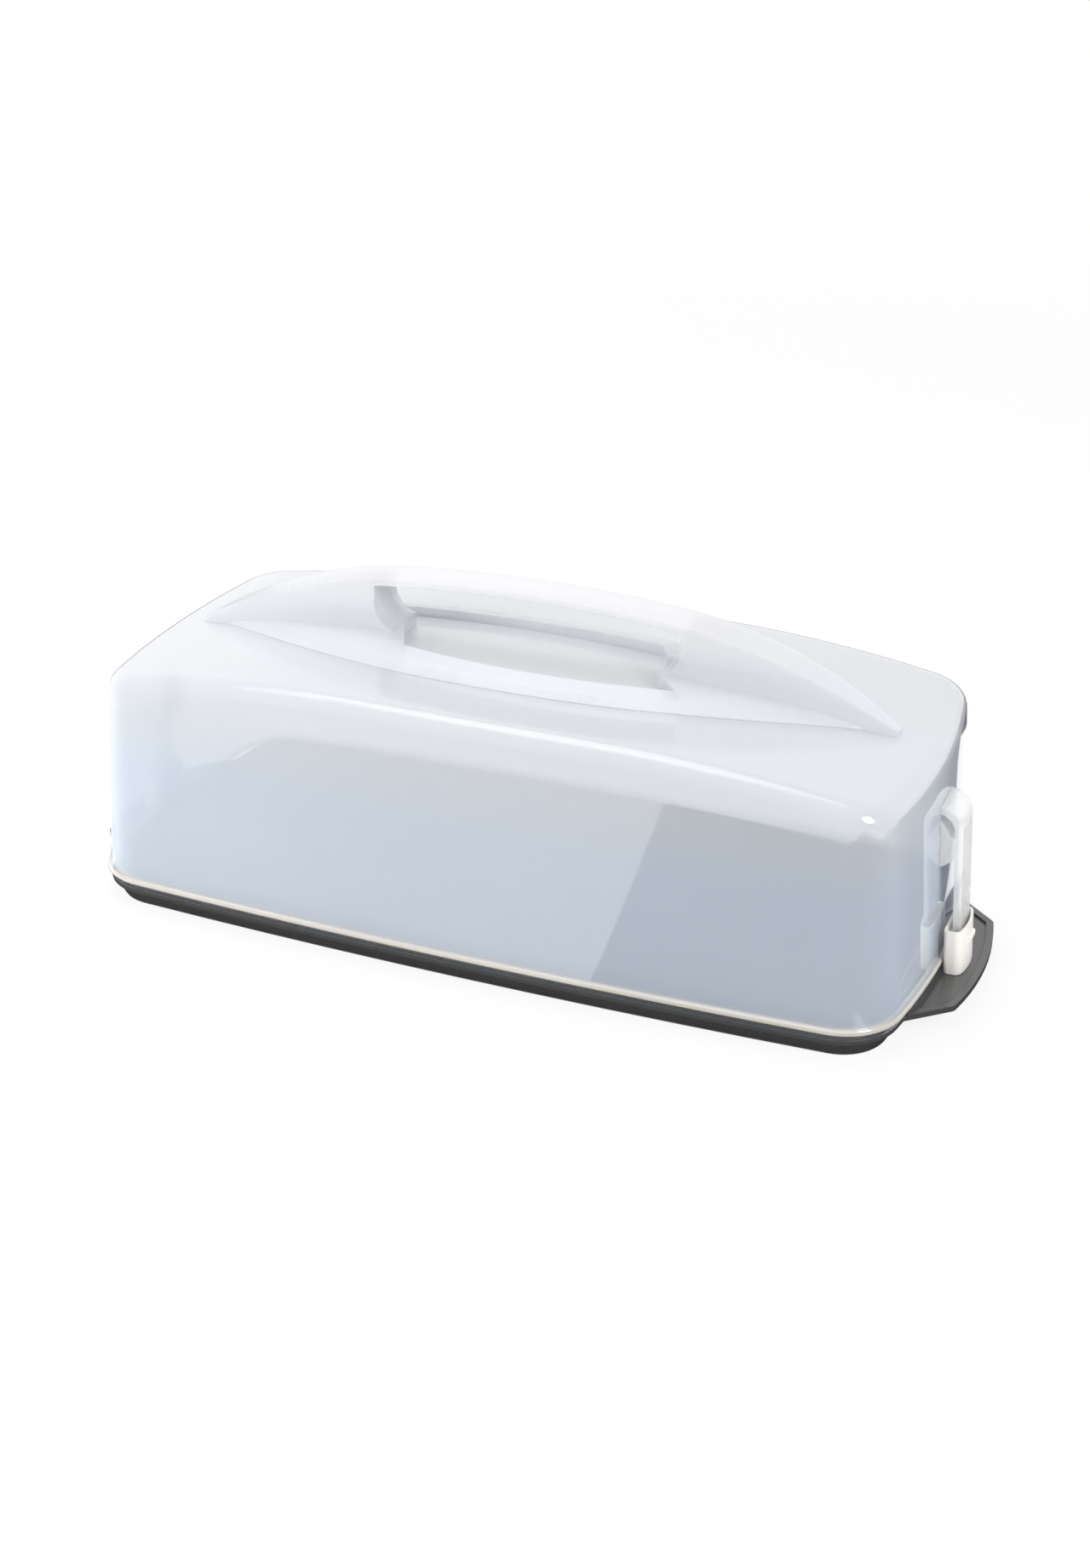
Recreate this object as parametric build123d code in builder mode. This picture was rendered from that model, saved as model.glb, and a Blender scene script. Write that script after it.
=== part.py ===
from build123d import *
from math import asin, degrees, radians, sqrt, tan
import os

os.makedirs("parts", exist_ok=True)

# Loaf cake carrier. X runs along the length, Y across, Z up, millimetres.
# The origin is under the middle of the base, on the surface it stands on.
# Outlines seen from above are the lid's rim outline, moved inwards by an inset.

# Rim outline: four bowed sides with rounded corners
rim_half_length = 190.0
rim_half_width = 86.6
rim_corner_x = 180.7
rim_corner_y = 81.4
rim_corner_radius = 27.2

# Base: hollow pan with a foot, a border that carries the lid, and a raised deck
foot_inset = 7.0
skirt_top_inset = 3.0
border_inset = 1.9
border_bottom = 7.6
border_top = 9.8
deck_inset = 8.5
deck_corner_radius = 18.7
deck_height = 17.0
base_wall = 2.2
bead_inset = 4.3
bead_width = 1.5
bead_height = 2.5
deck_edge_chamfer = 1.8
rib_thickness = 1.6
rib_depth = 4.0
rib_pitch = 60.0
rib_count = 5

# End handles of the base: dished plates with a raised lip
grip_root_x = 182.0
grip_root_y = 54.5
grip_corner_x = 201.5
grip_corner_y = 37.0
grip_reach = 206.0
grip_corner_radius = 4.5
grip_bottom = 7.6
dish_floor = 9.3
lip_top = 10.2
lip_width = 3.2
lip_clearance_inset = 1.1

# Lid: drafted shell with a crowned top, and a rim a little above its lower edge
lid_bottom = border_top
lid_wall = 1.8
wall_foot_inset = 1.6
wall_foot_corner = 26.0
wall_draft = 3.95
rim_bottom = 12.6
rim_top = 15.2
rim_edge_chamfer = 0.7
crown_height = 117.5
crown_flat_half = 58.0
crown_radius = 640.0
crown_sweep = 14.0
crown_front_edge_y = 40.0
shoulder_radius = 9.5
shoulder_facet_turn = 22.5
shoulder_facet_slopes = (0.55, 0.8)
level_edge_slope = 0.3

# Carry handle: boat-shaped cover, hollow hump and arched strap over a finger tunnel
cover_half_length = 164.0
cover_half_width = 40.4
cover_fullness = 2.7
cover_point = 1.35
cover_station_shares = (1.0, 0.92, 0.78, 0.58, 0.35)
cover_land = 0.5
cover_rise = 6.5
cover_rise_power = 0.35
cover_end = 160.0
cover_void_end = 140.0
cover_void_half_width = 34.4
handle_wall = 1.8
hump_base = 104.0
hump_head_z = 152.0
hump_foot_half_width = 13.0
hump_head_half_width = 9.8
hump_foot_end_half = 3.2
hump_head_end_half = 2.2
hump_void_foot_end_half = 1.4
hump_void_head_end_half = 0.5
hump_straight_half = 80.0
hump_end = 162.0
strap_height = 148.9
strap_thickness = 2.2
strap_middle_half = 60.0
strap_middle_radius = 700.0
strap_end_radius = 222.0
strap_end_sweep = 29.0
strap_profile_bottom = 90.0
mouth_top_half = 70.5
mouth_foot_half = 61.4
mouth_foot_z = 124.0
mouth_bend_z = 135.0
mouth_bend_bulge = 3.0
window_near_left = -51.4
window_near_right = 71.7
window_near_y = -21.0
window_bow_y = -26.0
window_corner_y = -11.5

# Catch at each end, drawn for the right end: leaning tongue, arch, gusset, collar, post
lean_slope = 0.0595
lean_datum = 14.0
tongue_back = 193.25
tongue_front = 196.65
tongue_bottom = 13.0
tongue_top_half_width = 10.0
tongue_bottom_half_width = 8.0
tongue_corner_radius = 3.0
tongue_bevel = 1.5
arch_x = 182.2
arch_z = 74.0
arch_outer_radius = 11.0
arch_inner_radius = 7.6
arch_side = (190.0, 81.75)
strap_root_x = 180.2
strap_root_z = 57.0
gusset_foot_wall = (185.0, 57.5)
gusset_foot_middle = (187.7, 59.2)
gusset_foot_tongue = (190.6, 62.2)
eye_floor_outer = (190.0, 71.6)
eye_floor_inner = (187.9, 72.0)
eye_wall_low = (183.2, 79.0)
eye_wall_high = (182.2, 79.0)
prism_back = 172.2
catch_back = 177.2
catch_depth = 40.0
catch_height = 90.0
recess_face = 195.35
recess_half_width = 6.0
recess_top = 24.2
pocket_face = 194.35
pocket_bottom = 18.6
pocket_top = 22.4
post_front = 197.15
post_back = 195.65
post_half_width = 5.4
post_bottom = 8.1
post_top = 23.7
nose_tip = 194.75
nose_bottom = 19.0
nose_top = 22.0
nose_bevel = 1.0
collar_back = 190.35
collar_front = 199.3
collar_side_front = 197.0
collar_half_width = 12.6
collar_bottom = 9.5
collar_length = 20.0
collar_wall = 1.2
collar_front_radius = 3.5
collar_back_radius = 1.8
guide_depth = 1.2
guide_root = 0.2
guide_width = 1.4
guide_y = 5.0
guide_stop = 3.0
nub_height = 3.0
nub_proud = 0.8
nub_bevel = 0.6
nub_half_width = 4.5
nub_z = 22.3

# How far a cutting shape runs past the surface it cuts
cut_overlap = 1.0
recess_cut_depth = 10.0


def plan_outline(inset, corner_radius=None):
    """Rim outline moved inwards by an inset, drawn on the XY plane."""
    with BuildSketch(Plane.XY, mode=Mode.PRIVATE) as outline:
        with BuildLine():
            right = (rim_half_length, 0)
            back = (0, rim_half_width)
            ThreePointArc((rim_corner_x, -rim_corner_y), right, (rim_corner_x, rim_corner_y))
            ThreePointArc((rim_corner_x, rim_corner_y), back, (-rim_corner_x, rim_corner_y))
            mirror_corner = (-rim_corner_x, -rim_corner_y)
            left = (-rim_half_length, 0)
            front = (0, -rim_half_width)
            ThreePointArc((-rim_corner_x, rim_corner_y), left, mirror_corner)
            ThreePointArc(mirror_corner, front, (rim_corner_x, -rim_corner_y))
        make_face()
        if inset > 0:
            offset(amount=-inset)
        fillet(outline.vertices(), radius=corner_radius or rim_corner_radius - inset)
    return outline.sketch_local


def fall(distance, flat_half, radius):
    """Drop of a line that is level to flat_half and then bends down with a radius."""
    beyond = max(abs(distance) - flat_half, 0)
    return radius - sqrt(radius**2 - beyond**2)


def leaning(face, z):
    """X at height z of a face that leans with the tongue and stands at face at the datum."""
    return face - (z - lean_datum) * lean_slope


def dome_block(extra_inset, drop, edge_radius, three_facets):
    """Drafted block under the crown: the lid's outside, or the space inside it."""
    height = crown_height - drop
    with BuildPart(mode=Mode.PRIVATE) as dome:
        with BuildSketch(Plane.XY.offset(lid_bottom)):
            add(plan_outline(wall_foot_inset + extra_inset, wall_foot_corner - extra_inset))
        extrude(amount=crown_height, taper=wall_draft)
        with BuildSketch(Plane.XZ):
            with BuildLine():
                top = Line((0, height), (crown_flat_half, height))
                bend = JernArc(top @ 1, (1, 0), crown_radius, -crown_sweep)
                Polyline(bend @ 1, (bend.position_at(1).X, 0), (0, 0))
                mirror(about=Plane.YZ)
            make_face()
        extrude(amount=rim_half_width * 2, both=True, mode=Mode.INTERSECT)
        # rounded shoulder: one facet, or three, that touch an arc of edge_radius
        lowest_slope, highest_slope = shoulder_facet_slopes
        crown_faces = dome.faces().filter_by(lambda f: f.normal_at().Z > highest_slope)
        crown_edges = [
            edge
            for face in crown_faces
            for edge in face.edges()
            if abs(edge.center().X) > crown_flat_half + cut_overlap
            or abs(edge.center().Y) > crown_front_edge_y
        ]
        half_turn = radians(shoulder_facet_turn)
        chamfer(crown_edges, length=edge_radius * (1 - tan(half_turn)))
        upper_then_lower = (-1, 0) if three_facets else ()
        for row in upper_then_lower:
            facets = dome.faces().filter_by(
                lambda f: lowest_slope < f.normal_at().Z < highest_slope
            )
            level_edges = [
                facet.edges().filter_by(lambda e: abs((e % 0.5).Z) < level_edge_slope)
                for facet in facets
            ]
            facet_sides = [edges.sort_by(Axis.Z)[row] for edges in level_edges]
            chamfer(facet_sides, length=edge_radius * (tan(half_turn) - tan(half_turn / 2)))
    return dome.part


def cover_half_width_at(x, half_length, half_width):
    """Half-width of the boat-shaped cover at x."""
    share = min(abs(x) / half_length, 1)
    return half_width * (1 - share**cover_fullness) ** cover_point


def cover_block(end, half_width, drop):
    """Boat-shaped cover lofted through cross-sections along the length."""
    left_stations = [-share * end for share in cover_station_shares]
    stations = left_stations + [0.0] + [-x for x in reversed(left_stations)]
    half_length = cover_half_length * end / cover_end
    with BuildPart(mode=Mode.PRIVATE) as cover:
        for x in stations:
            w = cover_half_width_at(x, half_length, half_width)
            foot = crown_height + cover_land - drop - fall(x, crown_flat_half, crown_radius)
            rise = cover_rise * (w / half_width) ** cover_rise_power
            with BuildSketch(Plane.YZ.offset(x)):
                with BuildLine():
                    ThreePointArc((-w, foot), (0, foot + rise), (w, foot))
                    Polyline((w, foot), (w, hump_base), (-w, hump_base), (-w, foot))
                make_face()
        loft()
    return cover.part


def strap_profile_block(drop):
    """Everything under the strap's top line, moved down by a drop."""
    height = strap_height - drop
    with BuildPart(mode=Mode.PRIVATE) as block:
        with BuildSketch(Plane.XZ):
            with BuildLine():
                middle_turn = degrees(asin(strap_middle_half / strap_middle_radius))
                middle = JernArc((0, height), (1, 0), strap_middle_radius, -middle_turn)
                end = JernArc(middle @ 1, middle % 1, strap_end_radius, -strap_end_sweep)
                bottom_corner = (end.position_at(1).X, strap_profile_bottom)
                Polyline(end @ 1, bottom_corner, (0, strap_profile_bottom))
                mirror(about=Plane.YZ)
            make_face()
        extrude(amount=cover_half_width, both=True)
    return block.part


def hump_outline(half, end_half, end):
    """Hump seen from above: straight in the middle, narrowing in arcs to blunt ends."""
    with BuildSketch(Plane.XY, mode=Mode.PRIVATE) as outline:
        with BuildLine():
            straight = Line((0, half), (hump_straight_half, half))
            side = TangentArc(straight @ 1, (end, end_half), tangent=(1, 0))
            Line(side @ 1, (end, 0))
            mirror(about=Plane.YZ)
            mirror(about=Plane.XZ)
        make_face()
    return outline.sketch_local


def hump_block(wall, drop, foot_end_half, head_end_half):
    """Drafted hump that narrows towards both ends, under the strap's top line."""
    end = hump_end - wall
    foot_half = hump_foot_half_width - wall
    head_half = hump_head_half_width - wall
    with BuildPart(mode=Mode.PRIVATE) as hump:
        with BuildSketch(Plane.XY.offset(hump_base)):
            add(hump_outline(foot_half, foot_end_half, end))
        with BuildSketch(Plane.XY.offset(hump_head_z)):
            add(hump_outline(head_half, head_end_half, end))
        loft(ruled=True)
        add(strap_profile_block(drop), mode=Mode.INTERSECT)
    return hump.part


def mouth_block(wall):
    """Finger tunnel with end walls that curve in at the foot, grown by a wall."""
    with BuildPart(mode=Mode.PRIVATE) as mouth:
        with BuildSketch(Plane.XZ):
            with BuildLine():
                top_half = mouth_top_half + wall
                foot_half = mouth_foot_half + wall
                bend_x = (top_half + foot_half) / 2 + mouth_bend_bulge
                bend_z = (mouth_foot_z + mouth_bend_z) / 2
                Line((0, strap_height), (top_half, strap_height))
                Line((top_half, strap_height), (top_half, mouth_bend_z))
                ThreePointArc((top_half, mouth_bend_z), (bend_x, bend_z), (foot_half, mouth_foot_z))
                Polyline((foot_half, mouth_foot_z), (foot_half, hump_base), (0, hump_base))
                mirror(about=Plane.YZ)
            make_face()
        extrude(amount=hump_foot_half_width + cut_overlap, both=True)
    return mouth.part


def window_outline(wall):
    """Cut-out of the cover beside the tunnel, on the near side, grown by a wall."""
    foot = mouth_foot_half + wall
    with BuildSketch(Plane.XY, mode=Mode.PRIVATE) as outline:
        with BuildLine():
            left = (window_near_left - wall, window_near_y)
            right = (window_near_right + wall, window_near_y)
            ThreePointArc(left, (0, window_bow_y - wall), right)
            Polyline(right, (foot, window_corner_y), (foot, 0), (-foot, 0), left)
        make_face()
    return outline.sketch_local


def window_block(wall):
    """Cut-outs on both sides; the far one is the near one turned half round."""
    with BuildPart(mode=Mode.PRIVATE) as window:
        with BuildSketch(Plane.XY.offset(hump_base)):
            with PolarLocations(0, 2):
                add(window_outline(wall))
        extrude(amount=mouth_foot_z + cover_land - hump_base)
    return window.part


lid_outside = dome_block(0, 0, shoulder_radius, three_facets=True)
lid_inside = dome_block(lid_wall, lid_wall, shoulder_radius - lid_wall, three_facets=False)

# Base tray: pan with raised deck, ribs below, end handles and catch posts
with BuildPart(mode=Mode.PRIVATE) as pan_space:
    with BuildSketch(Plane.XY):
        add(plan_outline(foot_inset + base_wall))
    with BuildSketch(Plane.XY.offset(border_bottom)):
        add(plan_outline(skirt_top_inset + base_wall))
    loft(ruled=True)
    with BuildSketch(Plane.XY.offset(border_bottom)):
        add(plan_outline(deck_inset + base_wall, deck_corner_radius - base_wall))
    extrude(amount=deck_height - base_wall - border_bottom)
    with BuildSketch(Plane.XY.offset(deck_height - base_wall - rib_depth)):
        with GridLocations(rib_pitch, 0, rib_count, 1):
            Rectangle(rib_thickness, rim_half_width * 2)
    extrude(amount=deck_height, mode=Mode.SUBTRACT)

with BuildPart() as base_tray:
    with BuildSketch(Plane.XY):
        add(plan_outline(foot_inset))
    with BuildSketch(Plane.XY.offset(border_bottom)):
        add(plan_outline(skirt_top_inset))
    loft(ruled=True)
    with BuildSketch(Plane.XY.offset(border_bottom)):
        add(plan_outline(border_inset))
    extrude(amount=border_top - border_bottom)
    with BuildSketch(Plane.XY.offset(border_top)):
        add(plan_outline(deck_inset, deck_corner_radius))
    extrude(amount=deck_height - border_top)
    chamfer(base_tray.faces().sort_by(Axis.Z)[-1].edges(), length=deck_edge_chamfer)
    with BuildSketch(Plane.XY.offset(border_top)):
        add(plan_outline(bead_inset))
        add(plan_outline(bead_inset + bead_width), mode=Mode.SUBTRACT)
    extrude(amount=bead_height)
    for side in (1, -1):
        # dished plate, then its lip, which stops short of the lid's wall
        with BuildSketch(Plane.XY.offset(grip_bottom)) as plate:
            with BuildLine():
                corner = (side * grip_corner_x, grip_corner_y)
                other = (side * grip_corner_x, -grip_corner_y)
                ThreePointArc(other, (side * grip_reach, 0), corner)
                root = (side * grip_root_x, grip_root_y)
                other_root = (side * grip_root_x, -grip_root_y)
                Polyline(corner, root, other_root, other)
            make_face()
            tips = plate.vertices().filter_by(lambda v: abs(v.X) > rim_half_length)
            fillet(tips, radius=grip_corner_radius)
        extrude(amount=dish_floor - grip_bottom)
        with BuildSketch(Plane.XY.offset(grip_bottom)):
            add(plate.sketch_local)
            offset(plate.sketch_local, amount=-lip_width, mode=Mode.SUBTRACT)
            add(plan_outline(lip_clearance_inset), mode=Mode.SUBTRACT)
        extrude(amount=lip_top - grip_bottom)
        # post with a nose that seats in the tongue's pocket
        with BuildSketch(Plane.XZ):
            with BuildLine():
                Polyline(
                    (side * leaning(post_front, post_bottom), post_bottom),
                    (side * leaning(post_front, post_top), post_top),
                    (side * leaning(post_back, post_top), post_top),
                    (side * leaning(post_back, nose_top + nose_bevel), nose_top + nose_bevel),
                    (side * leaning(nose_tip, nose_top - nose_bevel), nose_top - nose_bevel),
                    (side * leaning(nose_tip, nose_bottom), nose_bottom),
                    (side * leaning(post_back, nose_bottom), nose_bottom),
                    (side * leaning(post_back, post_bottom), post_bottom),
                    close=True,
                )
            make_face()
        extrude(amount=post_half_width, both=True)
    add(pan_space.part, mode=Mode.SUBTRACT)
base_tray.part.label = "base_tray"
export_step(base_tray.part, "parts/base_tray.step")

# Lid dome: thin drafted shell with a rim just above its lower edge
with BuildPart() as lid_dome:
    with BuildSketch(Plane.XY.offset(rim_bottom)):
        add(plan_outline(0))
    extrude(amount=rim_top - rim_bottom)
    chamfer(lid_dome.edges().filter_by(Plane.XY), length=rim_edge_chamfer)
    add(lid_outside)
    add(lid_inside, mode=Mode.SUBTRACT)
lid_dome.part.label = "lid_dome"
export_step(lid_dome.part, "parts/lid_dome.step")

# Carry handle: hollow moulding seated on the crown
with BuildPart(mode=Mode.PRIVATE) as handle_space:
    add(cover_block(cover_void_end, cover_void_half_width, handle_wall))
    add(
        hump_block(
            handle_wall, strap_thickness, hump_void_foot_end_half, hump_void_head_end_half
        )
    )
    add(mouth_block(handle_wall), mode=Mode.SUBTRACT)
    add(window_block(handle_wall), mode=Mode.SUBTRACT)

cover = cover_block(cover_end, cover_half_width, 0)

# the tunnel stops at the cover, which the cut-outs open
with BuildPart(mode=Mode.PRIVATE) as tunnel_space:
    add(mouth_block(0))
    add(strap_profile_block(strap_thickness), mode=Mode.INTERSECT)
    add(cover, mode=Mode.SUBTRACT)

with BuildPart() as carry_handle:
    add(cover)
    add(hump_block(0, 0, hump_foot_end_half, hump_head_end_half))
    add(handle_space.part, mode=Mode.SUBTRACT)
    add(tunnel_space.part, mode=Mode.SUBTRACT)
    add(window_block(0), mode=Mode.SUBTRACT)
    add(lid_outside, mode=Mode.SUBTRACT)
carry_handle.part.label = "carry_handle"
export_step(carry_handle.part, "parts/carry_handle.step")

lean_direction = (-lean_slope, 0, 1)

# Catch: a strap on the lid's end wall and a collar that slides on its tongue, at both ends
for side_name, side in (("right", 1), ("left", -1)):
    with BuildPart() as latch_strap:
        with BuildSketch(Plane.XZ):
            with BuildLine():
                tongue_head = (leaning(tongue_front, arch_z), arch_z)
                arch_crown = (arch_x, arch_z + arch_outer_radius)
                ThreePointArc(arch_crown, arch_side, tongue_head)
                Polyline(
                    tongue_head,
                    (leaning(tongue_front, tongue_bottom), tongue_bottom),
                    (leaning(tongue_back, tongue_bottom), tongue_bottom),
                    gusset_foot_tongue,
                )
                ThreePointArc(gusset_foot_tongue, gusset_foot_middle, gusset_foot_wall)
                Polyline(
                    gusset_foot_wall,
                    (strap_root_x, strap_root_z),
                    (strap_root_x, arch_z + arch_outer_radius),
                    arch_crown,
                )
            make_face()
            with BuildLine():
                eye_top = (arch_x, arch_z + arch_inner_radius)
                eye_side = (arch_x + arch_inner_radius, arch_z)
                half_way = arch_inner_radius * sqrt(0.5)
                ThreePointArc(eye_top, (arch_x + half_way, arch_z + half_way), eye_side)
                Polyline(eye_side, eye_floor_outer, eye_floor_inner, eye_wall_low)
                Polyline(eye_wall_low, eye_wall_high, eye_top)
            make_face(mode=Mode.SUBTRACT)
        extrude(amount=tongue_top_half_width, both=True)
        # front outline: the tongue narrows downwards and has rounded lower corners
        with BuildSketch(Plane.YZ.offset(catch_back)) as front:
            with BuildLine():
                shoulder_z = gusset_foot_tongue[1]
                Polyline(
                    (-tongue_bottom_half_width, tongue_bottom),
                    (tongue_bottom_half_width, tongue_bottom),
                    (tongue_top_half_width, shoulder_z),
                    (tongue_top_half_width, catch_height),
                    (-tongue_top_half_width, catch_height),
                    (-tongue_top_half_width, shoulder_z),
                    close=True,
                )
            make_face()
            fillet(front.vertices().group_by(Axis.Z)[0], radius=tongue_corner_radius)
        extrude(amount=catch_depth, mode=Mode.INTERSECT)
        # bevelled front corners, along the lean, let the collar pass over the wider top
        with BuildSketch(Plane.XY.offset(tongue_bottom - cut_overlap)):
            with BuildLine():
                front_x = leaning(tongue_front, tongue_bottom - cut_overlap) + cut_overlap
                side_y = tongue_top_half_width + cut_overlap
                bevel_reach = tongue_bevel + 2 * cut_overlap
                Polyline(
                    (prism_back, 0),
                    (prism_back, side_y),
                    (front_x - bevel_reach, side_y),
                    (front_x, side_y - bevel_reach),
                    (front_x, 0),
                )
                mirror(about=Plane.XZ)
            make_face()
        extrude(amount=arch_z + arch_outer_radius, dir=lean_direction, mode=Mode.INTERSECT)
        # recess for the base's post, with a deeper pocket for its nose
        for face, low, high in (
            (recess_face, tongue_bottom - cut_overlap, recess_top),
            (pocket_face, pocket_bottom, pocket_top),
        ):
            with BuildSketch(Plane.XZ):
                with BuildLine():
                    Polyline(
                        (leaning(face, low), low),
                        (leaning(face, low) + recess_cut_depth, low),
                        (leaning(face, high) + recess_cut_depth, high),
                        (leaning(face, high), high),
                        close=True,
                    )
                make_face()
            extrude(amount=recess_half_width, both=True, mode=Mode.SUBTRACT)
        add(lid_outside, mode=Mode.SUBTRACT)
        if side < 0:
            mirror(about=Plane.YZ, mode=Mode.REPLACE)
    latch_strap.part.label = f"{side_name}_latch_strap"
    export_step(latch_strap.part, f"parts/{side_name}_latch_strap.step")

    # D-shaped sleeve pushed up along the tongue's lean
    shift = leaning(0, collar_bottom)
    with BuildPart() as lock_collar:
        with BuildSketch(Plane.XY.offset(collar_bottom)) as sleeve:
            with BuildLine():
                front_corner = (collar_side_front + shift, collar_half_width)
                other_corner = (collar_side_front + shift, -collar_half_width)
                ThreePointArc(other_corner, (collar_front + shift, 0), front_corner)
                Polyline(
                    front_corner,
                    (collar_back + shift, collar_half_width),
                    (collar_back + shift, -collar_half_width),
                    other_corner,
                )
            make_face()
            back_corners = sleeve.vertices().group_by(Axis.X)[0]
            fillet(back_corners, radius=collar_back_radius)
            front_corners = sleeve.vertices().group_by(Axis.X)[-1]
            fillet(front_corners, radius=collar_front_radius)
        extrude(amount=collar_length, dir=lean_direction)
        # thumb nub across the front
        with BuildSketch(Plane.XZ) as nub:
            with Locations((leaning(collar_front, nub_z) + nub_proud, nub_z)):
                Rectangle(collar_wall + nub_proud, nub_height, align=(Align.MAX, Align.CENTER))
            chamfer(nub.vertices().group_by(Axis.X)[-1], length=nub_bevel)
        extrude(amount=nub_half_width, both=True)
        with BuildSketch(Plane.XY.offset(collar_bottom)):
            offset(sleeve.sketch_local, amount=-collar_wall)
        extrude(amount=collar_length, dir=lean_direction, mode=Mode.SUBTRACT)
        # two ribs inside the back wall guide the collar on the tongue
        with BuildSketch(Plane.XY.offset(collar_bottom)):
            inner_face = collar_back + shift + collar_wall
            with Locations((inner_face + (guide_depth - guide_root) / 2, 0)):
                with GridLocations(0, 2 * guide_y, 1, 2):
                    Rectangle(guide_depth + guide_root, guide_width)
        extrude(amount=collar_length - guide_stop, dir=lean_direction)
        if side < 0:
            mirror(about=Plane.YZ, mode=Mode.REPLACE)
    lock_collar.part.label = f"{side_name}_lock_collar"
    export_step(lock_collar.part, f"parts/{side_name}_lock_collar.step")
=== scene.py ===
import bmesh
import bpy
import math
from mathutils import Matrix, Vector


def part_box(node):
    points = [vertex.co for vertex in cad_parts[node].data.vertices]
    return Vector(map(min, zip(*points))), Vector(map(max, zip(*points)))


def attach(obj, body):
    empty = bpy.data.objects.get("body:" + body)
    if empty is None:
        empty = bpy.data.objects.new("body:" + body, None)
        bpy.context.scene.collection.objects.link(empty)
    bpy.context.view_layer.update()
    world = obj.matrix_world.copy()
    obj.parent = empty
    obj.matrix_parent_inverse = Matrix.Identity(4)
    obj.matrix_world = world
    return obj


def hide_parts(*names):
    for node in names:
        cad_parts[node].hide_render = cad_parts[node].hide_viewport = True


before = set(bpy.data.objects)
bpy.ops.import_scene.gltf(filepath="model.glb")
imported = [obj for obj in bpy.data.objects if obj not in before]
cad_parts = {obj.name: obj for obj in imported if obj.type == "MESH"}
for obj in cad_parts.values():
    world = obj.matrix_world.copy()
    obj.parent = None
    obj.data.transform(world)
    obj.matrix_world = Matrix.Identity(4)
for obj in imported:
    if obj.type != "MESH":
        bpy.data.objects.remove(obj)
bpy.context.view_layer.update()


# Base tray: the dark pan that the cake stands on, injection moulded in one piece of
# polypropylene. Its outside is satin, with a fine spark-eroded grain and a few rub marks
# on the raised edges where it is gripped. Those edges are painted lighter, partly for the
# rub marks and partly as a painted highlight along them.
class Value:
    """A shader socket that takes part in Python expressions by adding Math nodes."""

    def __init__(self, socket):
        self.socket = socket
        self.tree = socket.id_data

    def math(self, operation, *others):
        node = self.tree.nodes.new("ShaderNodeMath")
        node.operation = operation
        for place, item in enumerate((self,) + others):
            if isinstance(item, Value):
                self.tree.links.new(item.socket, node.inputs[place])
            else:
                node.inputs[place].default_value = item
        return Value(node.outputs[0])

    def __add__(self, other):
        return self.math("ADD", other)

    __radd__ = __add__

    def __mul__(self, other):
        return self.math("MULTIPLY", other)

    __rmul__ = __mul__

    def __sub__(self, other):
        return self.math("SUBTRACT", other)

    def __rsub__(self, other):
        return (self * -1.0) + other

    def clamp(self):
        return self.math("MAXIMUM", 0.0).math("MINIMUM", 1.0)


class Nodes:
    """A node tree, and the one way in which nodes other than Math are added to it."""

    def __init__(self, tree):
        self.tree = tree

    def node(self, kind, settings=None, sockets=None, output=0):
        """Adds a node: its settings first, then the values or links of its sockets."""
        node = self.tree.nodes.new(kind)
        for name, setting in (settings or {}).items():
            setattr(node, name, setting)
        for name, item in (sockets or {}).items():
            if isinstance(item, Value):
                self.tree.links.new(item.socket, node.inputs[name])
            else:
                node.inputs[name].default_value = item
        return Value(node.outputs[output])


class Finish(Nodes):
    """A procedural material around one Principled shader."""

    def __init__(self, name, colour, roughness, **constants):
        self.material = bpy.data.materials.new(name)
        self.material.use_nodes = True
        super().__init__(self.material.node_tree)
        self.shader = self.tree.nodes["Principled BSDF"]
        self.shader.inputs["Base Color"].default_value = (*colour, 1.0)
        self.shader.inputs["Roughness"].default_value = roughness
        for socket, number in constants.items():
            self.shader.inputs[socket.replace("_", " ")].default_value = number

    def place(self):
        return self.node("ShaderNodeTexCoord", output=3)

    def noise(self, scale, detail=3.0, stretch=(1.0, 1.0, 1.0)):
        mapped = self.node("ShaderNodeMapping", sockets={"Vector": self.place(), "Scale": stretch})
        return self.node(
            "ShaderNodeTexNoise", sockets={"Vector": mapped, "Scale": scale, "Detail": detail})

    def mix(self, factor, low, high):
        """A colour between two colours, each given or linked."""
        ends = [item if isinstance(item, Value) else (*item, 1.0) for item in (low, high)]
        return self.node(
            "ShaderNodeMix", {"data_type": "RGBA"}, {0: factor, 6: ends[0], 7: ends[1]}, output=2)

    def feed(self, socket, value):
        self.tree.links.new(value.socket, self.shader.inputs[socket])

    def relief(self, height, distance, strength, edge_radius=0.0):
        """Surface relief, over moulded edges that are rounded by edge_radius if it is given."""
        shape = {"Height": height, "Distance": distance, "Strength": strength}
        if edge_radius:
            shape["Normal"] = self.node(
                "ShaderNodeBevel", {"samples": 4}, {"Radius": edge_radius})
        self.feed("Normal", self.node("ShaderNodeBump", sockets=shape))

    def edges(self, radius, gain):
        """1 along sharp edges and 0 away from them, facets of a curve included."""
        facet = 0.04
        rounded = self.node("ShaderNodeBevel", {"samples": 6}, {"Radius": radius})
        flat = self.node("ShaderNodeNewGeometry", output="Normal")
        alike = self.node(
            "ShaderNodeVectorMath", {"operation": "DOT_PRODUCT"}, {0: rounded, 1: flat},
            output="Value")
        return ((1.0 - facet - alike.math("ABSOLUTE")) * gain).clamp()

    def cover(self, *pieces):
        for piece in pieces:
            piece.data.materials.clear()
            piece.data.materials.append(self.material)


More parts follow.
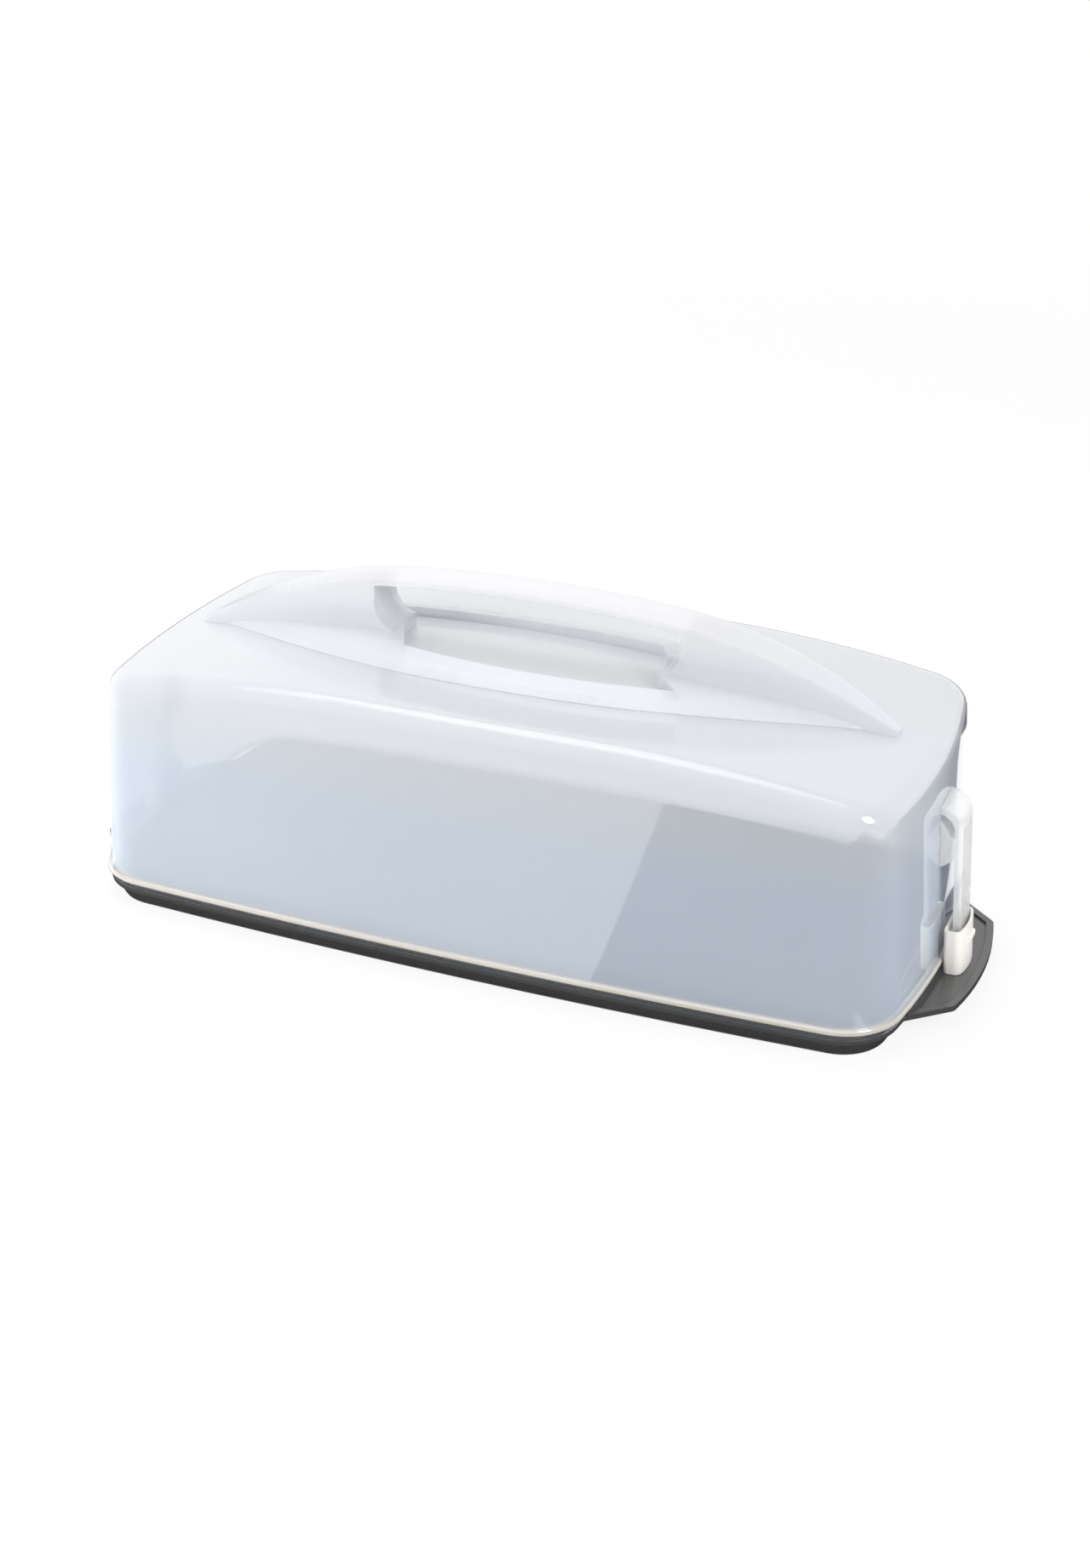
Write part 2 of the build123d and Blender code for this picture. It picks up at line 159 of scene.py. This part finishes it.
tray_colour = (0.046, 0.0465, 0.046)
tray_worn_colour = (0.058, 0.0585, 0.058)
# the edge colour is partly rub marks and partly a painted highlight
tray_edge_rub_and_highlight_colour = (0.11, 0.108, 0.10)
tray_edge_radius = 0.0005
tray_edge_reach = 0.0004
tray_rub_and_highlight_gain = 3.0
tray_cloud_scale = 18.0
grain_scale = 1400.0
grain_depth = 0.00004
grain_strength = 0.05

tray_plastic = Finish(
    "tray_plastic", tray_colour, 0.30, IOR=1.45, Coat_Weight=0.6, Coat_IOR=1.65,
    Coat_Roughness=0.16)
tray_cloud = tray_plastic.noise(tray_cloud_scale)
tray_body = tray_plastic.mix(tray_cloud, tray_colour, tray_worn_colour)
# lighter along the edges: partly rub marks, partly a painted highlight
tray_rubbed_and_highlit_edges = tray_plastic.edges(tray_edge_reach, tray_rub_and_highlight_gain) * (tray_cloud * 0.8 + 0.4)
tray_plastic.feed("Base Color", tray_plastic.mix(tray_rubbed_and_highlit_edges, tray_body, tray_edge_rub_and_highlight_colour))
tray_plastic.feed("Roughness", tray_cloud * 0.12 + 0.22)
tray_plastic.relief(
    tray_plastic.noise(grain_scale, 2.0), grain_depth, grain_strength, tray_edge_radius)
tray_plastic.cover(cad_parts["base_tray"])

# Lid dome: a thin drafted shell in natural polypropylene, which is clear but milky. Its
# shoulder is a true round, its lower edge carries a beaded rim, and flow from the mould's
# gate leaves faint cloudy bands.
mm = 0.001
rim_half_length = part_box("lid_dome")[1].x / mm
rim_half_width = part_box("lid_dome")[1].y / mm
dome_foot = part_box("lid_dome")[0].z / mm
dome_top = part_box("lid_dome")[1].z / mm
end_sagitta = 9.3
side_sagitta = 5.2
end_chord_half = 81.4
side_chord_half = 180.7
foot_inset = 1.6
foot_corner = 26.0
wall_thickness = 1.8
wall_draft = math.radians(3.95)
shoulder_radius = 9.5
crown_flat_half = 58.0
crown_radius = 640.0
rim_low = 12.6
rim_high = 15.2
rim_round = 1.0
bead_turn = 30
settle_rounds = 6
crown_crowding = 1.4
crown_blend_rings = 2

end_radius = (end_chord_half**2 + end_sagitta**2) / (2 * end_sagitta)
side_radius = (side_chord_half**2 + side_sagitta**2) / (2 * side_sagitta)


def foot_ring(end_steps, corner_steps, side_steps):
    """Outline of the dome's foot as (x, y, outward angle): three arcs, mirrored."""
    end_x = rim_half_length - end_radius
    side_y = rim_half_width - side_radius
    reach_end = end_radius - foot_inset - foot_corner
    reach_side = side_radius - foot_inset - foot_corner
    apart = math.hypot(end_x, side_y)
    along = (reach_end**2 - reach_side**2 + apart**2) / (2 * apart)
    off = math.sqrt(reach_end**2 - along**2)
    unit = Vector((-end_x / apart, side_y / apart))
    corner = Vector((end_x, 0.0)) + unit * along + Vector((-unit.y, unit.x)) * off
    end_turn = math.atan2(corner.y, corner.x - end_x)
    side_turn = math.atan2(corner.y - side_y, corner.x)
    quarter = []
    for centre, radius, start, stop, steps in (
        ((end_x, 0.0), end_radius - foot_inset, 0.0, end_turn, end_steps),
        (corner, foot_corner, end_turn, side_turn, corner_steps),
        ((0.0, side_y), side_radius - foot_inset, side_turn, math.pi / 2, side_steps),
    ):
        for step in range(steps):
            turn = start + (stop - start) * step / steps
            x = centre[0] + radius * math.cos(turn)
            y = centre[1] + radius * math.sin(turn)
            quarter.append((x, y, turn))
    top = (0.0, rim_half_width - foot_inset, math.pi / 2)
    right_back = quarter + [top]
    left_back = [(-x, y, math.pi - turn) for x, y, turn in reversed(quarter)]
    upper = right_back + left_back
    lower = [(x, -y, -turn) for x, y, turn in reversed(upper[1:-1])]
    return upper + lower


def crown_fall(x):
    """Drop of the crown line at x, and its slope there."""
    beyond = max(abs(x) - crown_flat_half, 0.0)
    root = math.sqrt(crown_radius**2 - beyond**2)
    return crown_radius - root, beyond / root


def shell_rings(ring, thickness, wall_steps, shoulder_steps, crown_steps, rim=False):
    """Rings from the foot up the wall, over the shoulder and in to the crown's middle."""
    radius = shoulder_radius - thickness
    inner_foot = foot_inset + thickness
    columns = []
    for x, y, turn in ring:
        nx = math.cos(turn)
        ny = math.sin(turn)
        centre_inset = inner_foot + radius
        for _ in range(settle_rounds):
            centre_x = x - (centre_inset - foot_inset) * nx
            drop, gradient = crown_fall(centre_x)
            slope = math.atan(gradient * abs(nx))
            centre_z = dome_top - thickness - drop - radius / math.cos(slope)
            rise = (centre_z - dome_foot) * math.tan(wall_draft)
            centre_inset = inner_foot + rise + radius / math.cos(wall_draft)
        profile = [(inner_foot, dome_foot)]
        start_z = dome_foot
        if rim:
            middle = (rim_low + rim_high) / 2
            flat_half = (rim_high - rim_low) / 2 - rim_round
            profile.append((foot_inset + (rim_low - dome_foot) * math.tan(wall_draft), rim_low))
            profile.append((rim_round, rim_low))
            for way in (-1, 1):
                for step in (1, 2, 3) if way < 0 else (2, 1, 0):
                    angle = math.radians(bead_turn * step)
                    bead_z = middle + way * (flat_half + rim_round * math.cos(angle))
                    profile.append((rim_round * (1 - math.sin(angle)), bead_z))
            profile.append((foot_inset + (rim_high - dome_foot) * math.tan(wall_draft), rim_high))
            start_z = rim_high
        for step in range(1, wall_steps + 1):
            z = start_z + (centre_z + radius * math.sin(wall_draft) - start_z) * step / wall_steps
            profile.append((inner_foot + (z - dome_foot) * math.tan(wall_draft), z))
        top_turn = math.pi / 2 - slope
        for step in range(1, shoulder_steps + 1):
            turn_up = wall_draft + (top_turn - wall_draft) * step / shoulder_steps
            shoulder_inset = centre_inset - radius * math.cos(turn_up)
            profile.append((shoulder_inset, centre_z + radius * math.sin(turn_up)))
        columns.append([
            Vector((x - (inset - foot_inset) * nx, y - (inset - foot_inset) * ny, z))
            for inset, z in profile
        ])
    rings = [list(level) for level in zip(*columns)]
    edge = rings[-1]
    for step in range(1, crown_steps):
        share = 1 - (step / crown_steps) ** crown_crowding
        level = []
        for point in edge:
            x = point.x * share
            blend_in = min(step / crown_blend_rings, 1.0)
            crown_z = dome_top - thickness - crown_fall(x)[0]
            edge_z = dome_top - thickness - crown_fall(point.x)[0]
            lift = (point.z - edge_z) * (1 - blend_in)
            level.append(Vector((x, point.y * share, crown_z + lift)))
        rings.append(level)
    return rings


foot = foot_ring(8, 12, 30)
outer = shell_rings(foot, 0.0, 10, 10, 14, rim=True)
inner = shell_rings(foot, wall_thickness, 10, 6, 14)
# sharp edges: the foot, and both sides of the bead where it meets the wall
creased_levels = (0, 1, 2, 8, 9)

shell = bmesh.new()
outer_loops = [[shell.verts.new(point * mm) for point in level] for level in outer]
inner_loops = [[shell.verts.new(point * mm) for point in level] for level in inner]
crown_middle = shell.verts.new(Vector((0.0, 0.0, dome_top)) * mm)
ceiling_middle = shell.verts.new(Vector((0.0, 0.0, dome_top - wall_thickness)) * mm)
count = len(foot)


def skin(low, high, outwards):
    for place in range(count):
        after = (place + 1) % count
        corners = [low[place], low[after], high[after], high[place]]
        shell.faces.new(corners if outwards else corners[::-1])


def cap(loop, middle, outwards):
    for place in range(count):
        corners = [loop[place], loop[(place + 1) % count], middle]
        shell.faces.new(corners if outwards else corners[::-1])


for low, high in zip(outer_loops, outer_loops[1:]):
    skin(low, high, True)
for low, high in zip(inner_loops, inner_loops[1:]):
    skin(low, high, False)
skin(inner_loops[0], outer_loops[0], True)
cap(outer_loops[-1], crown_middle, True)
cap(inner_loops[-1], ceiling_middle, False)
for loops in [outer_loops[level] for level in creased_levels] + [inner_loops[0]]:
    for place in range(count):
        crease = shell.edges.get((loops[place], loops[(place + 1) % count]))
        crease.smooth = False
dome_mesh = bpy.data.meshes.new("dome_shell")
shell.to_mesh(dome_mesh)
shell.free()
for polygon in dome_mesh.polygons:
    polygon.use_smooth = True
dome = bpy.data.objects.new("dome_shell", dome_mesh)
bpy.context.scene.collection.objects.link(dome)
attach(dome, "lid")
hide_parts("lid_dome")

dome_colour = (0.61, 0.685, 0.79)
dome_clear_colour = (0.63, 0.705, 0.805)
# painted light: the upper wall and the crown are lighter and less blue than the lower wall
crown_painted_light_colour = (0.695, 0.715, 0.75)
crown_colour_low = 0.070
crown_colour_fade = 0.035
rim_colour = (0.74, 0.69, 0.62)
dome_alpha = 0.43
dome_alpha_swing = 0.04
dome_slant_alpha = 0.75
dome_slant_power = 3.0
foot_alpha = 0.06
rim_alpha = 0.68
rim_fade = 0.0003
rim_trim = 0.2
flow_stretch = (1.0, 2.0, 2.0)
dome_flow_scale = 7.0
dome_sheen_scale = 60.0
dome_ripple_scale = 30.0
ripple_depth = 0.0003
dome_ripple_strength = 0.04

dome_plastic = Finish(
    "dome_plastic", dome_colour, 0.10, IOR=1.5, Coat_Weight=1.0, Coat_IOR=2.3,
    Coat_Roughness=0.03)
dome_height = dome_plastic.node(
    "ShaderNodeSeparateXYZ", sockets={"Vector": dome_plastic.place()}, output=2)
under_rim_top = ((rim_high + rim_trim) * mm / rim_fade - dome_height * (1.0 / rim_fade)).clamp()
over_rim_foot = (dome_height * (1.0 / rim_fade) - (rim_low - rim_trim) * mm / rim_fade).clamp()
rim_mask = under_rim_top * over_rim_foot
dome_flow = dome_plastic.noise(dome_flow_scale, 2.0, flow_stretch)
dome_body = dome_plastic.mix(dome_flow, dome_colour, dome_clear_colour)
# painted light: upward from crown_colour_low the wall is painted lighter and less blue, for how
# light falls and scatters there
dome_top_painted_light = ((dome_height - crown_colour_low) * (1.0 / crown_colour_fade)).clamp()
dome_body = dome_plastic.mix(dome_top_painted_light, dome_body, crown_painted_light_colour)
dome_plastic.feed("Base Color", dome_plastic.mix(rim_mask, dome_body, rim_colour))
# the milky wall hides more where it is looked through at a slant
dome_slant = dome_plastic.node("ShaderNodeLayerWeight", sockets={"Blend": 0.5}, output="Facing")
dome_slant = dome_slant.math("POWER", dome_slant_power) * dome_slant_alpha
dome_veil = dome_flow * dome_alpha_swing + dome_slant + (
    dome_alpha - foot_alpha - dome_alpha_swing / 2)
dome_clear = dome_veil * over_rim_foot + foot_alpha
dome_plastic.feed("Alpha", dome_clear + rim_mask * (rim_alpha - dome_alpha))
dome_plastic.feed("Roughness", dome_plastic.noise(dome_sheen_scale) * 0.03 + 0.085)
dome_plastic.relief(
    dome_plastic.noise(dome_ripple_scale, 1.0), ripple_depth, dome_ripple_strength)
dome_plastic.cover(dome)

# Carry handle: a hollow moulding in the same natural polypropylene that stands on the crown.
# Its skins lie over the dome's, so it looks whiter than the walls.
handle_colour = (0.76, 0.78, 0.81)
handle_arch_colour = (0.73, 0.73, 0.75)
handle_alpha = 0.41
handle_arch_alpha = 0.20
handle_arch_low = 0.130
handle_arch_fade = 0.0125
handle_edge_radius = 0.0004
handle_flow_scale = 12.0
handle_flow_swing = 0.05
handle_ripple_scale = 40.0
handle_ripple_strength = 0.03

handle_plastic = Finish(
    "handle_plastic", handle_colour, 0.20, IOR=1.5, Coat_Weight=0.3, Coat_IOR=1.7,
    Coat_Roughness=0.18)
handle_flow = handle_plastic.noise(handle_flow_scale, 2.0, flow_stretch)
handle_height = handle_plastic.node(
    "ShaderNodeSeparateXYZ", sockets={"Vector": handle_plastic.place()}, output=2)
arch_mask = ((handle_height - handle_arch_low) * (1.0 / handle_arch_fade)).clamp()
handle_plastic.feed(
    "Base Color", handle_plastic.mix(arch_mask, handle_colour, handle_arch_colour))
handle_veil = handle_flow * handle_flow_swing + (handle_alpha - handle_flow_swing / 2)
handle_plastic.feed("Alpha", handle_veil + arch_mask * handle_arch_alpha)
handle_plastic.feed("Roughness", handle_flow * 0.08 + 0.18)
handle_plastic.relief(
    handle_plastic.noise(handle_ripple_scale, 1.0), ripple_depth, handle_ripple_strength,
    handle_edge_radius)
handle_plastic.cover(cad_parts["carry_handle"])

# Latch straps: thick leaning straps with an eye under the arch, moulded in the lid's plastic.
# They are several millimetres thick, so they look almost white.
strap_colour = (0.84, 0.845, 0.85)
strap_alpha = 0.55
strap_alpha_swing = 0.08
strap_edge_radius = 0.0005
strap_cloud_scale = 40.0
strap_cloud_depth = 0.0002

strap_plastic = Finish(
    "strap_plastic", strap_colour, 0.26, IOR=1.5, Subsurface_Weight=0.6,
    Subsurface_Radius=(1.0, 1.0, 1.0), Subsurface_Scale=0.004)
strap_cloud = strap_plastic.noise(strap_cloud_scale)
strap_plastic.feed(
    "Alpha", strap_cloud * strap_alpha_swing + (strap_alpha - strap_alpha_swing / 2))
strap_plastic.feed("Roughness", strap_cloud * 0.10 + 0.22)
strap_plastic.relief(strap_cloud, strap_cloud_depth, 0.05, strap_edge_radius)
for side in ("right", "left"):
    strap_plastic.cover(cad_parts[side + "_latch_strap"])

# Lock collars: ivory white sleeves that slide on the straps, moulded in an opaque plastic.
# Their outside is satin and slightly soft in its light.
collar_colour = (0.90, 0.865, 0.825)
collar_shade_colour = (0.87, 0.83, 0.78)
collar_edge_radius = 0.0004
collar_cloud_scale = 90.0
collar_cloud_depth = 0.0001

collar_plastic = Finish(
    "collar_plastic", collar_colour, 0.32, Subsurface_Weight=0.15,
    Subsurface_Radius=(1.0, 1.0, 1.0), Subsurface_Scale=0.002)
collar_cloud = collar_plastic.noise(collar_cloud_scale)
collar_plastic.feed(
    "Base Color", collar_plastic.mix(collar_cloud, collar_colour, collar_shade_colour))
collar_plastic.feed("Roughness", collar_cloud * 0.10 + 0.27)
collar_plastic.relief(collar_cloud, collar_cloud_depth, 0.05, collar_edge_radius)
for side in ("right", "left"):
    collar_plastic.cover(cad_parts[side + "_lock_collar"])

# Floor: a plain white sweep that keeps the carrier's soft shadow. It shows nearly as white
# as the surroundings, and the lamps and the carrier shade the rest.
floor_colour = (0.90, 0.90, 0.90)
floor_half = 6.0
floor_white_near = 0.86
floor_white_from = 0.5
floor_white_over = 0.9

floor_mesh = bpy.data.meshes.new("floor")
floor_corners = [(x, y, 0.0) for x, y in ((-1, -1), (1, -1), (1, 1), (-1, 1))]
floor_mesh.from_pydata(
    [(x * floor_half, y * floor_half, z) for x, y, z in floor_corners], [], [(0, 1, 2, 3)])
floor = bpy.data.objects.new("floor", floor_mesh)
bpy.context.scene.collection.objects.link(floor)
floor_paint = Finish("floor_paint", floor_colour, 0.9)


def seen_directly(nodes):
    """1 for what the camera sees, straight or by a mirror or see-through path."""
    rays = [nodes.node("ShaderNodeLightPath", output=name)
            for name in ("Is Camera Ray", "Is Glossy Ray", "Is Transmission Ray")]
    return rays[0].math("MAXIMUM", rays[1]).math("MAXIMUM", rays[2])


floor_away = floor_paint.node(
    "ShaderNodeVectorMath", {"operation": "LENGTH"}, {0: floor_paint.place()}, output="Value")
floor_far = ((floor_away - floor_white_from) * (1.0 / floor_white_over)).clamp()
floor_white = floor_far * (1.0 - floor_white_near) + floor_white_near
floor_share = seen_directly(floor_paint) * floor_white
floor_seen = floor_paint.node("ShaderNodeMixShader", sockets={
    0: floor_share,
    1: Value(floor_paint.shader.outputs[0]),
    2: floor_paint.node("ShaderNodeEmission"),
})
floor_output = floor_paint.tree.nodes["Material Output"]
floor_paint.tree.links.new(floor_seen.socket, floor_output.inputs["Surface"])
floor_paint.cover(floor)

# Surroundings: an even white studio, shown at full white, and dimmer where it lights the
# carrier.
studio_light_level = 0.55

world = bpy.data.worlds.new("studio")
bpy.context.scene.world = world
world.use_nodes = True
studio = Nodes(world.node_tree)
studio_light = studio.tree.nodes["Background"]
studio_light.inputs["Color"].default_value = (1.0, 1.0, 1.0, 1.0)
studio_level = seen_directly(studio) * (1.0 - studio_light_level) + studio_light_level
studio.tree.links.new(studio_level.socket, studio_light.inputs["Strength"])


# Lamps: a softbox overhead at the left, whose light runs along the shoulder, one at the
# far left and one at the right end. Three fill lamps give light without highlights. A black
# card lies on the floor round the carrier, and only glossy surfaces show it: it puts painted
# dark reflections into the walls and painted shade into the tray's reflection.
def softbox(name, spot, aim, width, height, power):
    lamp = bpy.data.lights.new(name, "AREA")
    lamp.shape = "RECTANGLE"
    lamp.size = width
    lamp.size_y = height
    lamp.energy = power
    holder = bpy.data.objects.new(name, lamp)
    bpy.context.scene.collection.objects.link(holder)
    holder.location = spot
    holder.rotation_euler = (Vector(aim) - Vector(spot)).to_track_quat("-Z", "Y").to_euler()
    return holder


softbox("top_softbox", (-0.28, 0.22, 1.28), (0.0, 0.0, 0.08), 0.60, 1.00, 2.8)
softbox("left_softbox", (-0.76, 0.00, 1.20), (-0.1, 0.0, 0.1), 0.12, 0.20, 0.2)
softbox("right_softbox", (0.95, -0.45, 0.75), (0.1, 0.0, 0.06), 0.30, 0.50, 8.0)
fill_aim = (-0.05, 0.0, 0.06)
fill_width = 0.45
fill_height = 0.35
for name, spot, power in (
    ("front_fill", (-0.72, -0.60, 0.36), 6.0),
    ("back_fill", (-0.90, 0.70, 0.50), 1.5),
    ("top_fill", (-0.28, 0.22, 1.28), 5.4),
):
    fill = softbox(name, spot, fill_aim, fill_width, fill_height, power)
    fill.visible_glossy = False

# the card: a strip round the foot, a sheet before the right half of the front, one beside the
# right end and one behind. The strip is painted shade under the skirt, seen in the tray's
# reflection; the sheets are painted dark reflections in the walls.
card_inset = 6.8
card_reach = 20.0
card_height = 0.5
card_sheets = (
    [(52.0, -104.0), (14.0, -360.0), (450.0, -360.0), (450.0, -104.0)],
    [(205.0, -104.0), (450.0, -104.0), (450.0, 1500.0), (205.0, 1500.0)],
    [(205.0, 1500.0), (-900.0, 1500.0), (-900.0, 260.0), (205.0, 260.0)],
)

card_points = []
for reach in (card_inset - foot_inset, -foot_inset - card_reach):
    card_points += [(x - reach * math.cos(turn), y - reach * math.sin(turn)) for x, y, turn in foot]
card_faces = [(k, count + k, count + (k + 1) % count, (k + 1) % count) for k in range(count)]
for corners in card_sheets:
    card_faces.append(tuple(range(len(card_points), len(card_points) + len(corners))))
    card_points += corners
card_mesh = bpy.data.meshes.new("dark_reflection_card")
card_mesh.from_pydata(
    [(x * mm, y * mm, card_height * mm) for x, y in card_points], [], card_faces)
card = bpy.data.objects.new("dark_reflection_card", card_mesh)
bpy.context.scene.collection.objects.link(card)
# seen only in reflections: painted shade and painted dark reflections
card.visible_camera = False
card.visible_diffuse = False
card.visible_shadow = False
card.visible_transmission = False
Finish("dark_reflection_paper", (0.02, 0.02, 0.02), 0.8).cover(card)

# Camera: at the height and side from which the carrier is shown.
camera_spot = Vector((0.33551, -0.79587, 0.48625))
camera_azimuth = math.radians(22.533)
camera_elevation = math.radians(26.497)
camera_lens = 49.88
camera_film = 36.0

camera_direction = Vector((
    -math.sin(camera_azimuth) * math.cos(camera_elevation),
    math.cos(camera_azimuth) * math.cos(camera_elevation),
    -math.sin(camera_elevation),
))
camera_data = bpy.data.cameras.new("camera")
camera_data.sensor_fit = "VERTICAL"
camera_data.sensor_height = camera_film
camera_data.lens = camera_lens
camera = bpy.data.objects.new("camera", camera_data)
camera.location = camera_spot
camera.rotation_euler = camera_direction.to_track_quat("-Z", "Y").to_euler()
bpy.context.scene.collection.objects.link(camera)
bpy.context.scene.camera = camera

bpy.context.scene.view_settings.view_transform = "Standard"
